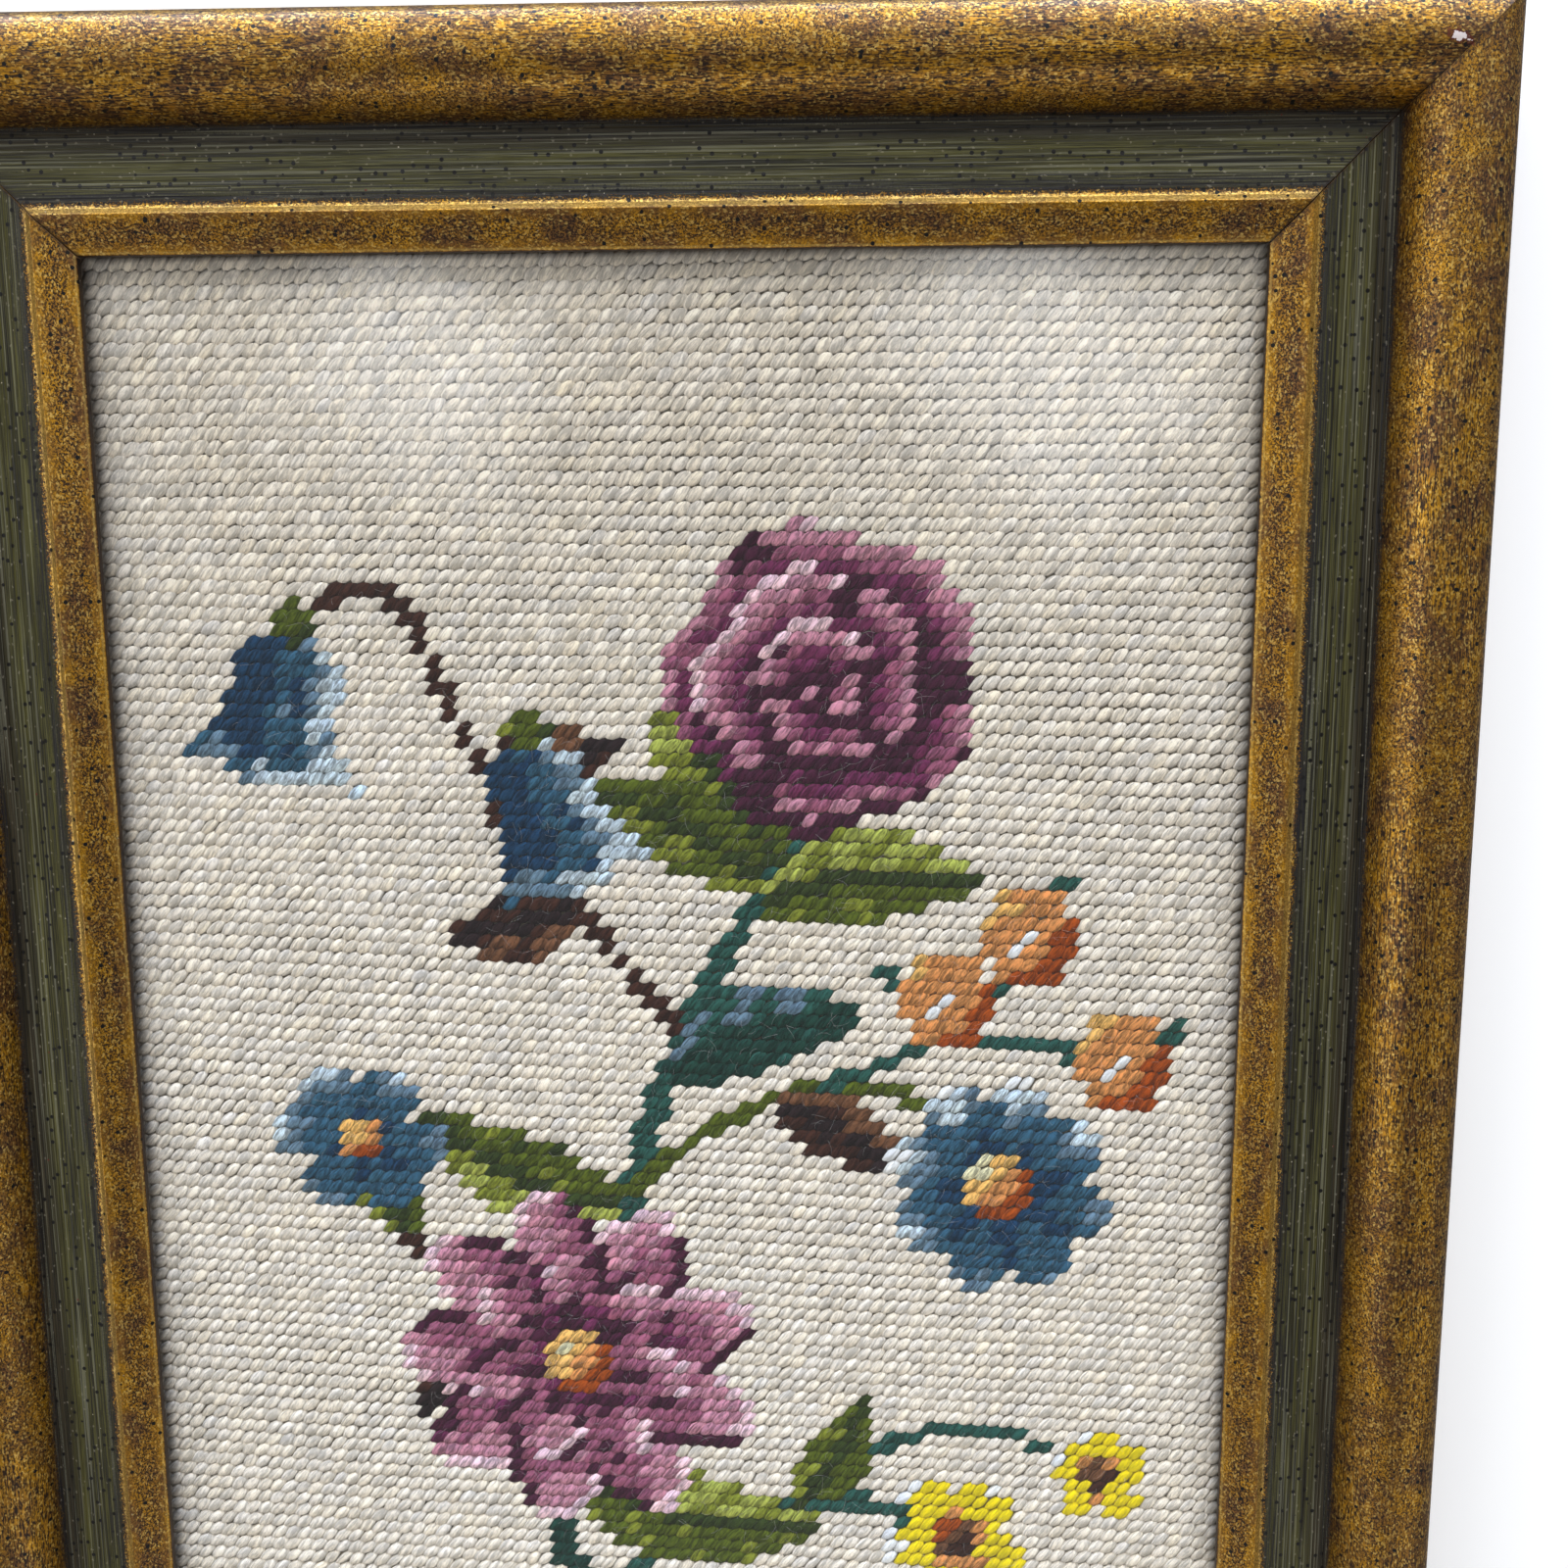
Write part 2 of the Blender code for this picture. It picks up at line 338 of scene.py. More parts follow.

    # How bright the gilt is: crisp specks on the lip, soft ones on the roll, worn bright on the lip's two
    # edges, dark at the foot of the roll, where umber was left and painted shade stands for the hollow's
    # shade, and near black on the wall inside the sight edge, as painted shade
    texture = add(tree, "Mix", {"Factor": share["wiped"], "A": share["stippled"], "B": share["rubbed"]})
    soft = add(tree, "MapRange", {"Value": texture, "From Min": 0.29, "From Max": 0.72})
    crisp = add(tree, "MapRange", {"Value": share["stippled"], "From Min": 0.43, "From Max": 0.63})
    tone = add(tree, "Mix", {"Factor": share["lip"], "A": soft, "B": crisp})
    worn = add(tree, "Math", {0: share["worn"], 1: share["lip"]}, operation="MULTIPLY")
    tone = add(tree, "Math", {0: tone, 1: worn}, operation="ADD", use_clamp=True)
    kept_from_umber_and_shade = add(tree, "Math", {0: share["foot"], 1: share["lip_and_edge"]}, operation="ADD", use_clamp=True)
    kept_from_umber_and_shade = add(tree, "Math", {0: kept_from_umber_and_shade, 1: share["inside"]}, operation="MULTIPLY")
    tone = add(tree, "Math", {0: tone, 1: kept_from_umber_and_shade}, operation="MULTIPLY")
    dark = add(tree, "MixRGB", {"Fac": share["cloud"], "Color1": UMBER, "Color2": DARK_GOLD})
    bright = add(tree, "MixRGB", {"Fac": share["cloud"], "Color1": DULL_GOLD, "Color2": BRIGHT_GOLD})
    colour = add(tree, "MixRGB", {"Fac": tone, "Color1": dark, "Color2": bright})

    # Pale gold on the brightest flakes; on the lip's outer edge, worn and painted pale as a highlight there;
    # and as a painted highlight line at the sight edge
    glint = add(tree, "MapRange", {"Value": share["flake"], "From Min": 0.76, "From Max": 1.0, "To Max": 0.6})
    glint = add(tree, "Math", {0: glint, 1: tone}, operation="MULTIPLY")
    bared_and_highlit = add(tree, "Math", {0: share["bared_and_highlit"], 1: share["lip"]}, operation="MULTIPLY")
    bared_and_highlit = add(tree, "Math", {0: bared_and_highlit, 1: tone}, operation="MULTIPLY")
    for pale in (glint, bared_and_highlit, share["sight_highlight"]):
        colour = add(tree, "MixRGB", {"Fac": pale, "Color1": colour, "Color2": PALE_GOLD})

    # The brushed panel, olive, brown by the roll: dark and pale lines along it, spray at its edges, widened
    # by the lip as painted shade below its step, dust
    olive = add(tree, "MixRGB", {"Fac": share["paint"], "Color1": SLATE_DARK, "Color2": SLATE_LIGHT})
    brown = add(tree, "MixRGB", {"Fac": share["paint"], "Color1": SLATE_BROWN, "Color2": SLATE_DARK})
    slate = add(tree, "MixRGB", {"Fac": share["by_roll"], "Color1": olive, "Color2": brown})
    scratch = add(tree, "Math", {0: share["scratch"], 1: 0.7}, operation="MULTIPLY")
    crest = add(tree, "Math", {0: share["crest"], 1: 0.35}, operation="MULTIPLY")
    both = {0: share["lip_spray_and_shade"], 1: share["roll_spray"]}
    spray_and_lip_shade = add(tree, "Math", both, operation="ADD", use_clamp=True)
    dust = {"Value": share["flake"], "From Min": 0.982, "From Max": 0.99, "To Max": 0.24}
    dust = add(tree, "MapRange", dust)
    layers = ((scratch, SPECK_BLACK), (crest, SLATE_PALE), (spray_and_lip_shade, SLATE_EDGE), (dust, SPECK_PALE))
    for over, paint in layers:
        slate = add(tree, "MixRGB", {"Fac": over, "Color1": slate, "Color2": paint})
    is_slate = add(tree, "Math", {0: share["over_lip"], 1: share["under_roll"]}, operation="MULTIPLY")
    colour = add(tree, "MixRGB", {"Fac": is_slate, "Color1": colour, "Color2": slate})

    # Spatter: the cells whose number is over a share hold a dot, and black dots fall more on the panel
    black_over = add(tree, "MapRange", {"Value": is_slate, "To Min": 0.72, "To Max": 0.45})
    dots = (
        (2.3, black_over, 0.16, SPECK_BLACK),
        (2.9, 0.84, 0.055, SPECK_PALE),
        (7.0, 0.85, 0.04, BOLE_RED),
    )
    for size, over, radius, dot_colour in dots:
        cells = add(tree, "TexVoronoi", {"Vector": place, "Scale": per(size)}, voronoi_dimensions="2D")
        number = add(tree, "SeparateXYZ", {"Vector": cells.outputs["Color"]})
        excess = add(tree, "Math", {0: number, 1: over}, operation="SUBTRACT")
        reach = add(tree, "MapRange", {"Value": excess, "From Max": 0.2, "To Min": -0.01, "To Max": radius})
        dot = add(tree, "Math", {0: cells.outputs["Distance"], 1: reach}, operation="LESS_THAN")
        colour = add(tree, "MixRGB", {"Fac": dot, "Color1": colour, "Color2": dot_colour})

    # Grime in the mitre, and one chip at the corner that shows the gesso, with bole round it
    for name, bare in (("dirt", UMBER), ("bole", BOLE_RED), ("gesso", GESSO)):
        colour = add(tree, "MixRGB", {"Fac": share[name], "Color1": colour, "Color2": bare})

    # Bronze powder is a metal, and its shellac shines. Paint and gesso are neither
    not_metal = add(tree, "Math", {0: is_slate, 1: share["gesso"]}, operation="MAXIMUM")
    metal = add(tree, "MapRange", {"Value": not_metal, "To Min": 0.8, "To Max": 0.0})
    gilt_rough = add(tree, "MapRange", {"Value": tone, "To Min": 0.58, "To Max": 0.32})
    slate_rough = add(tree, "MapRange", {"Value": share["paint"], "To Min": 0.46, "To Max": 0.32})
    ridges = add(tree, "Math", {0: share["ridge"], 1: 4.0, 2: share["bristle"]}, operation="MULTIPLY_ADD")
    relief = add(tree, "Mix", {"Factor": is_slate, "A": share["flake"], "B": ridges})
    surface = {
        "Base Color": colour,
        "Metallic": metal,
        "Roughness": add(tree, "Mix", {"Factor": is_slate, "A": gilt_rough, "B": slate_rough}),
        "Specular IOR Level": add(tree, "MapRange", {"Value": is_slate, "To Min": 0.5, "To Max": 0.3}),
        "Coat Weight": add(tree, "MapRange", {"Value": is_slate, "To Min": 0.34, "To Max": 0.05}),
        "Coat Roughness": 0.36,
        "Normal": add(tree, "Bump", {"Height": relief, "Strength": 0.8, "Distance": 0.045 * MM}),
    }
    add(tree, "OutputMaterial", {"Surface": add(tree, "BsdfPrincipled", surface)})
    return material


# Obeche, a pale, plain and soft wood, sawn and unfinished: it shows on the back of the sticks, in the rebate
# and inside the mitres, as straight tan grain with a little dirt.
WOOD_LIGHT = linear("#BC9C72")
WOOD_DARK = linear("#94714A")


def bare_wood():
    """Grain as noise drawn out along the stick, with a fine pore texture on it."""
    material, tree = finish("sawn obeche")
    place = add(tree, "UVMap", {}, uv_map="stick")
    drawn = add(tree, "Mapping", {"Vector": place, "Scale": (1 / 30, 1, 1)})
    grain = add(tree, "TexNoise", {"Vector": drawn, "Scale": per(1.1), "Detail": 4.0, "Roughness": 0.65})
    share = add(tree, "MapRange", {"Value": grain, "From Min": 0.35, "From Max": 0.68})
    colour = add(tree, "MixRGB", {"Fac": share, "Color1": WOOD_LIGHT, "Color2": WOOD_DARK})
    bump = add(tree, "Bump", {"Height": grain, "Strength": 0.5, "Distance": 0.1 * MM})
    shader = add(tree, "BsdfPrincipled", {"Base Color": colour, "Roughness": 0.8, "Normal": bump})
    add(tree, "OutputMaterial", {"Surface": shader})
    return material


def moulding_stick(name, turn, half_sight, sight_side, seed, materials):
    """The section carried along a stick: a point reaches half the sight plus its distance out, less a gap."""
    draw = np.random.default_rng(seed)
    station = np.linspace(-1, 1, STICK_STATIONS)[:, None]
    out, up = section.T
    gap = np.interp(out, [0, LIP_WIDTH, VALLEY, CREST], MITRE_GAPS)
    along = station * (sight_side + out - gap * np.sqrt(0.5))
    phases = draw.uniform(0, 2 * np.pi, (3, 1, 1))
    waves = np.array(GILDER_WAVE_LENGTHS).reshape(3, 1, 1)
    wave = np.sin(along / waves * 2 * np.pi + phases + out * GILDER_WAVE_DRIFT).mean(0)
    around = len(out)

    # The waves are on the face only, short of its ends, and leave the crest at its height
    first_wavy, last_wavy = 3, FACE_POINTS - 6
    on_face = (np.arange(around) > first_wavy) & (np.arange(around) < last_wavy)
    height = up + GILDER_WAVE * wave * on_face * (up < MOULDING_DEPTH - 0.1 * MM)
    height = np.minimum(height, MOULDING_DEPTH)

    # The points are turned to the stick's side of the frame
    width = np.broadcast_to(half_sight + out, along.shape)
    cosine, sine = np.round([np.cos(turn), np.sin(turn)])
    points = np.stack([width * cosine - along * sine, width * sine + along * cosine, height], -1)
    sides = skin(STICK_STATIONS, around)
    first = np.arange(around)[None, ::-1]
    last = (STICK_STATIONS - 1) * around + np.arange(around)[None]

    # The stick's map is developed, along the stick and round the girth; the mitre's holds how far it is
    ring, point = np.mgrid[0 : STICK_STATIONS - 1, 0:around]
    after = (point + 1) % around
    u = np.stack([along[ring, point], along[ring, after], along[ring + 1, after], along[ring + 1, point]], -1)
    v = np.stack([girth[point], girth[point + 1], girth[point + 1], girth[point]], -1)
    u, v = u.ravel(), v.ravel()
    caps = np.concatenate([first[0], last[0]]) % around
    cap_u = np.where(np.arange(len(caps)) < around, -1.0, 1.0) * (sight_side + out[caps])
    stick_map = np.stack([np.append(u, cap_u) + seed * MAP_STEP, np.append(v, up[caps])], -1)
    to_mitre = (sight_side + out - np.abs(along)).ravel()
    mitre_u = np.append(to_mitre[sides.ravel()], np.zeros(len(caps)))
    mitre_map = np.stack([mitre_u, np.zeros(len(mitre_u))], -1)

    # The bake map fills its square with the same strip, and the sawn ends lie at one spot of its margin
    strip = np.stack([u / (sight_side + MOULDING_WIDTH) + 1, 2 * v / girth[-1]], -1)
    strip = BAKE_MARGIN + (0.5 - BAKE_MARGIN) * strip
    bake_map = np.vstack([strip, np.full((len(caps), 2), BAKE_MARGIN / 4)])
    faces_finish = np.where(point.ravel() < FACE_POINTS, 0, 1)
    piece = new_piece(
        name + "_gilt",
        points.reshape(-1, 3),
        [sides, first, last],
        materials,
        {"stick": stick_map, "mitre": mitre_map, "OFBake": bake_map},
        finishes=np.append(faces_finish, [1, 1]),
    )
    piece.data.set_sharp_from_angle(angle=np.radians(40))
    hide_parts(name)
    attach(piece, "root")
    return piece


moulding_finishes = [painted_and_gilt(), bare_wood()]
moulding_stick("moulding_right", 0, SIGHT_X, SIGHT_Y, 1, moulding_finishes)
moulding_stick("moulding_top", np.pi / 2, SIGHT_Y, SIGHT_X, 2, moulding_finishes)
moulding_stick("moulding_left", np.pi, SIGHT_X, SIGHT_Y, 3, moulding_finishes)
moulding_stick("moulding_bottom", -np.pi / 2, SIGHT_Y, SIGHT_X, 4, moulding_finishes)


# The backing board is 3 mm hardboard, smooth side out, cut to the rebate and held in by the framer's points.
# It is pressed wood fibre: brown, faintly mottled, with short dark fibres in it.
BOARD_LIGHT = linear("#7E5C3E")
BOARD_DARK = linear("#5A3E28")


def hardboard():
    """Fibre as fine noise in Object coordinates, over a cloudy brown."""
    material, tree = finish("hardboard")
    place = add(tree, "TexCoord", {}).outputs["Object"]
    fibre = add(tree, "TexNoise", {"Vector": place, "Scale": per(0.9), "Detail": 4.0, "Roughness": 0.7})
    cloud = add(tree, "TexNoise", {"Vector": place, "Scale": per(18), "Detail": 3.0})
    both = add(tree, "Math", {0: fibre, 1: cloud}, operation="MULTIPLY")
    share = add(tree, "MapRange", {"Value": both, "From Min": 0.16, "From Max": 0.36})
    colour = add(tree, "MixRGB", {"Fac": share, "Color1": BOARD_DARK, "Color2": BOARD_LIGHT})
    bump = add(tree, "Bump", {"Height": fibre, "Strength": 0.4, "Distance": 0.1 * MM})
    shader = add(tree, "BsdfPrincipled", {"Base Color": colour, "Roughness": 0.62, "Normal": bump})
    add(tree, "OutputMaterial", {"Surface": shader})
    return material


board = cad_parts["backing_board"]
board.data.materials.clear()
board.data.materials.append(hardboard())


# The canvas is cotton, ten holes to the inch, stretched flat on the board. It shows only as the tan ground
# between stitches, so it is a plain thin sheet with its own weave.
cloth_low, cloth_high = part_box("needlepoint")
CANVAS_BOTTOM = cloth_low.z
CANVAS_TOP = cloth_low.z + 0.9 * MM
CANVAS_COLOUR = linear("#B9AC94")
CANVAS_HOLLOW_SHADE = linear("#94876E")
PITCH = 2.54 * MM
SHEET_STEPS = (40, 78)

# A wave texture of scale 1 repeats at this many metres
WAVE_REPEAT = 0.31416


def canvas_sheet():
    """A closed flat sheet: an upper and a lower grid of points, joined all round by one row of quads."""
    across, up = SHEET_STEPS
    x = np.linspace(cloth_low.x, cloth_high.x, across)
    y = np.linspace(cloth_low.y, cloth_high.y, up)
    grid = np.stack(np.meshgrid(x, y), -1).reshape(-1, 2)
    top = np.c_[grid, np.full(len(grid), CANVAS_TOP)]
    under = np.c_[grid, np.full(len(grid), CANVAS_BOTTOM)]
    j, i = np.mgrid[0 : up - 1, 0 : across - 1]
    corner = j * across + i
    upper = np.stack([corner, corner + 1, corner + across + 1, corner + across], -1).reshape(-1, 4)
    lower = upper[:, ::-1] + len(grid)
    south = np.arange(across)
    north = south + (up - 1) * across
    west = np.arange(up) * across
    east = west + across - 1
    rim = np.concatenate([south, east[1:], north[::-1][1:], west[::-1][1:-1]])
    after = np.roll(rim, -1)
    edge = np.stack([rim, rim + len(grid), after + len(grid), after], -1)
    return np.vstack([top, under]), np.vstack([upper, lower, edge])


def cotton_canvas():
    """An over and under weave from two crossed waves, a thread to each pitch, with painted shade in its
    hollows.
    """
    material, tree = finish("cotton needlepoint canvas")
    place = add(tree, "TexCoord", {}).outputs["Object"]
    threads = {"Vector": place, "Scale": WAVE_REPEAT * per(PITCH / MM)}
    warp = add(tree, "TexWave", threads, bands_direction="X").outputs["Fac"]
    weft = add(tree, "TexWave", threads, bands_direction="Y").outputs["Fac"]
    height = add(tree, "Math", {0: warp, 1: weft}, operation="MAXIMUM")
    # Painted shade: the canvas is darker where the weave is low
    colour = add(tree, "MixRGB", {"Fac": height, "Color1": CANVAS_HOLLOW_SHADE, "Color2": CANVAS_COLOUR})
    bump = add(tree, "Bump", {"Height": height, "Strength": 1.0, "Distance": 0.3 * MM})
    shader = add(tree, "BsdfPrincipled", {"Base Color": colour, "Roughness": 0.9, "Normal": bump})
    add(tree, "OutputMaterial", {"Surface": shader})
    return material


sheet_points, sheet_faces = canvas_sheet()
canvas = new_piece("stretched_canvas", sheet_points, [sheet_faces], [cotton_canvas()])
canvas.data.set_sharp_from_angle(angle=np.radians(40))
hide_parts("needlepoint")
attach(canvas, "root")


# The chart says which wool works each stitch: a spray of rose, bells, dahlia, asters, daisies and hips
# on a bending stalk. It is drawn here by formula, one array cell to a stitch, with row 0 at the top.
COLUMNS = 84
ROWS = 163

# The wools by name, from the dark to the light of each family
WOOLS = {
    "ground": "#F2E8DA",
    "plum": "#481B33",
    "mulberry": "#742E55",
    "mauve": "#9F5B76",
    "rose": "#C88C9F",
    "pink": "#EFCDD6",
    "white": "#F6F6F6",
    "navy": "#1A3E5C",
    "blue": "#345E76",
    "sky": "#6B8598",
    "ice": "#CAD7DF",
    "fir": "#36441A",
    "olive": "#566216",
    "moss": "#838A2C",
    "lime": "#AEB554",
    "spruce": "#1A4137",
    "teal": "#29594F",
    "soot": "#2A1C1D",
    "bark": "#42251B",
    "umber": "#774F35",
    "rust": "#A74B0F",
    "amber": "#D99657",
    "gold": "#EDBE6D",
    "straw": "#F2EBC4",
    "yellow": "#F6E00C",
}
NAMES = list(WOOLS)
row, column = np.mgrid[0:ROWS, 0:COLUMNS].astype(float)
chart = np.zeros((ROWS, COLUMNS), int)
dither = np.random.default_rng(11).random((ROWS, COLUMNS)) - 0.5


def shade(inside, value, ramp, rough=0.16):
    """Work the stitches inside with the ramp's wools, from its first at value 0 to its last at 1."""
    names = ramp.split()
    step = np.clip((value + rough * dither) * len(names), 0, len(names) - 1).astype(int)
    wools = np.array([NAMES.index(name) for name in names])[step]
    chart[inside] = wools[inside]


def from_base(x, y, angle, length):
    """Each stitch's place from a base: u runs 0 to 1 along the angle, w is stitches to its left."""
    turn = np.radians(angle)
    dx, dy = column - x, y - row
    return (dx * np.cos(turn) + dy * np.sin(turn)) / length, dy * np.cos(turn) - dx * np.sin(turn)


def leaf(x, y, angle, length, width, bend, ramp):
    """A pointed leaf: half as wide as the sine of its length, bent by a parabola, darker below its rib."""
    u, w = from_base(x, y, angle, length)
    w = w - bend * 4 * u * (1 - u)
    half = width / 2 * np.sin(np.pi * np.clip(u, 0, 1) ** 0.85) ** 0.8
    inside = (u > 0) & (u < 1) & (np.abs(w) < half)
    ribs = 0.5 + 0.5 * np.sin(u * length * 1.5 - np.abs(w) * 1.6)
    value = np.where(w > 0, 0.62, 0.3) + 0.3 * ribs * np.where(w > 0, 1, 0.6)
    value = np.where(np.abs(w) < 0.55, 0.05, value)
    shade(inside, value, ramp)


def petal(x, y, angle, length, width, ramp, bend=0, tip=2.2):
    """A petal: an outline of power tip, dark at its base and on its right edge, pale at its rim."""
    u, w = from_base(x, y, angle, length)
    w = w - bend * u * u
    across = w / (width / 2)
    outline = np.abs(2 * u - 1.08) ** tip + np.abs(across) ** 2
    inside = (outline < 1) & (u > 0)
    value = 0.12 + 0.62 * u + 0.3 * across * u
    value = value - 0.35 * (np.abs(across) < 0.2) * (u < 0.62)
    value = value + 0.25 * (outline > 0.72) * (across > -0.2) * (u > 0.5)
    value = value - 0.5 * (outline > 0.6) * (across < -0.35)
    shade(inside, value, ramp)


def disc(x, y, radius, ramp, flat=1.0):
    """A round boss, lit from the upper left."""
    dx, dy = (column - x) / radius, (y - row) / radius / flat
    inside = dx * dx + dy * dy < 1
    shade(inside, 0.5 + 0.45 * (dy - dx) / 1.4 - 0.15 * (dx * dx + dy * dy), ramp)


def stem(points, wool, thickness=1.0):
    """A stalk along a quadratic curve through three points, as wide as thickness. It returns the curve."""
    t = np.linspace(0, 1, 160)[:, None]
    start, middle, end = (np.array(point, float) for point in points)
    control = 2 * middle - (start + end) / 2
    path = (1 - t) ** 2 * start + 2 * t * (1 - t) * control + t * t * end
    gap = np.hypot(column[..., None] - path[:, 0], row[..., None] - path[:, 1]).min(-1)
    chart[gap < 0.5 * thickness + 0.08] = NAMES.index(wool)
    return lambda share: path[int(share * 159)]


def rose(x, y, radius, ramp, turn=0.0):
    """A full rose: a scalloped outline filled by a spiral of petals, each dark inside and pale at its lip."""
    dx, dy = column - x, y - row
    reach, angle = np.hypot(dx, dy), np.arctan2(dy, dx) + turn
    rim = radius * (0.87 + 0.13 * np.abs(np.cos(2.5 * angle)))
    whorl = (reach / rim) ** 0.85 * 3.1 - angle / (2 * np.pi)
    ring = np.floor(whorl)
    place = whorl - ring
    splits = np.abs(np.cos(1.5 * angle + 1.9 * ring))
    light = (dy * 0.8 - dx * 0.6) / radius
    value = 0.08 + 0.75 * place**1.3 + 0.28 * light
    value = np.where((splits < 0.2) & (place > 0.3), 0.05, value)
    value = np.where(reach < 1.4, 0.0, value)
    shade(reach < rim, value, ramp)


def rayed(x, y, radius, rays, ramp, boss, turn=0.0, deep=0.34, boss_size=0.27):
    """An open flower: rays as a cosine round its centre, dark between them and by the boss."""
    dx, dy = column - x, y - row
    reach, angle = np.hypot(dx, dy), np.arctan2(dy, dx) + np.radians(turn)
    lobe = np.abs(np.cos(rays * angle / 2))
    rim = radius * (1 - deep + deep * lobe**0.6)
    light = (dy * 0.7 - dx * 0.5) / radius
    value = 0.1 + 0.74 * reach / rim - 0.4 * (1 - lobe) ** 0.8 + 0.2 * light
    shade(reach < rim, value, ramp)
    disc(x, y, radius * boss_size, boss)


def bell(x, y, angle, length, width, ramp):
    """A hanging bell: round at the stalk, straight, then flared to a mouth cut into three lobes."""
    u, w = from_base(x, y, angle, length)
    crown = np.clip(u / 0.3, 0, 1)
    flare = np.clip((u - 0.5) / 0.42, 0, 1)
    half = width / 2 * (0.62 * np.sqrt(1 - (1 - crown) ** 2) + 0.38 * flare**1.4)
    edge = 0.86 + 0.14 * np.abs(np.cos(np.pi * 1.5 * w / width))
    inside = (u > 0) & (u < edge) & (np.abs(w) < half)
    side = w / np.maximum(half, 0.1)
    value = 0.52 + 0.4 * side - 0.22 * (np.abs(side + 0.35) < 0.16) - 0.22 * (np.abs(side - 0.3) < 0.14)
    shade(inside, value + 0.42 * (u > edge - 0.13), ramp)


def hip(x, y, angle):
    """A round hip with two white lights on it and a green tail."""
    turn = np.radians(angle)
    tip = (x + 4.8 * np.cos(turn), y + 4.8 * np.sin(turn))
    stem([(x, y), ((x + tip[0]) / 2, (y + tip[1]) / 2), tip], "teal", 1.2)
    disc(x, y, 3.4, "rust amber amber gold", flat=1.12)
    chart[int(y), int(x)] = NAMES.index("white")
    chart[int(y) + 1, int(x) - 1] = NAMES.index("white")


MAUVES = "plum mulberry mauve mauve rose rose pink"
PINKS = "plum mulberry mauve rose rose pink"
BLUES = "navy navy blue sky ice white"
GREENS = "fir olive moss lime"
DULL_GREENS = "fir olive olive moss"
TEALS = "spruce spruce teal sky"
BROWNS = "soot bark umber"
GOLDS = "rust amber gold straw"
YELLOWS = "amber yellow yellow white"

# The stalk rises in three bends
foot = stem([(44, 160), (50, 134), (41, 112)], "spruce", 2.2)
middle = stem([(41, 112), (31, 96), (36, 76)], "spruce", 2.0)
head = stem([(36, 76), (41, 58), (50, 42)], "teal", 1.5)

# Branches, each from its place on the stalk
arch = stem([head(0.55), (31, 43), (24, 30)], "bark")
stem([arch(1), (20, 24), (14, 27)], "bark")
stem([arch(0.5), (28, 40), (30, 34)], "bark")
right = stem([head(0.2), (52, 60), (62, 64)], "olive")
twig = stem([right(0.5), (60, 56), (67, 50)], "teal")
stem([twig(0.5), (66, 56), (73, 57)], "teal")
left = stem([middle(0.75), (24, 78), (17, 70)], "bark")
low_right = stem([middle(0.3), (50, 94), (60, 96)], "teal")
stem([low_right(0.5), (61, 87), (70, 89)], "teal")
low_left = stem([foot(0.95), (26, 108), (18, 112)], "bark")
stem([foot(0.7), (60, 116), (66, 124)], "olive")
deep_left = stem([foot(0.55), (34, 128), (24, 136)], "teal")
stem([foot(0.3), (54, 152), (64, 151)], "bark")

# Leaves, by angle, length, width and bend
leaf(*head(0.95), 118, 17, 7.5, 1.2, GREENS)
leaf(*head(0.9), 156, 16, 6.5, -1.4, DULL_GREENS)
leaf(*head(0.86), 8, 17, 7, 1.4, GREENS)
leaf(*head(0.45), 20, 16, 6.5, 1.6, TEALS)
leaf(*head(0.15), 155, 17, 7, 1.5, GREENS)
leaf(*right(0.35), 335, 11, 5, 0.4, BROWNS)
leaf(*arch(0.35), 195, 10, 5, 0.6, BROWNS)
leaf(*arch(0.7), 15, 10, 4.6, 0.5, BROWNS)
leaf(*left(0.4), 240, 10, 5, 0.3, BROWNS)
leaf(*left(0.75), 110, 10, 4.6, 0.3, DULL_GREENS)
leaf(*middle(0.62), 350, 22, 8, -2.2, GREENS)
leaf(*middle(0.3), 190, 20, 7.5, 2.0, TEALS)
leaf(*low_right(0.5), 60, 11, 5, -0.5, DULL_GREENS)
leaf(*low_left(0.45), 240, 12, 5.5, 0.6, BROWNS)
leaf(*foot(0.98), 12, 20, 8, 1.6, GREENS)
leaf(*foot(0.8), 172, 20, 8, -1.8, GREENS)
leaf(*foot(0.62), 350, 18, 7.5, -1.5, TEALS)
leaf(*foot(0.42), 165, 17, 7, 1.5, DULL_GREENS)
leaf(*foot(0.28), 20, 17, 7, 1.2, GREENS)
leaf(*foot(0.15), 160, 16, 6.5, -1.2, TEALS)
leaf(*foot(0.08), 35, 12, 5, -0.8, BROWNS)
leaf(*deep_left(0.6), 250, 10, 5, 0.4, BROWNS)

# The rose at the head of the stalk, and the bells on the arch
rose(52, 30, 11.4, PINKS, turn=0.6)
bell(14, 27, 258, 12, 13, "navy navy blue sky ice")
bell(30, 35, 292, 12, 12, "navy navy blue sky ice")
disc(14, 26.5, 1.6, DULL_GREENS)
disc(30.5, 34.4, 1.6, DULL_GREENS)

# The dahlia on the bend: two rings of petals, the outer first
for size, width, count, turn in ((13.4, 7.6, 9, 17), (8.6, 5.4, 7, 37)):
    for ray in range(count):
        petal(33, 83, 360 / count * ray + turn, size, width, MAUVES, bend=0.6, tip=1.9)
disc(33, 83, 2.7, GOLDS)

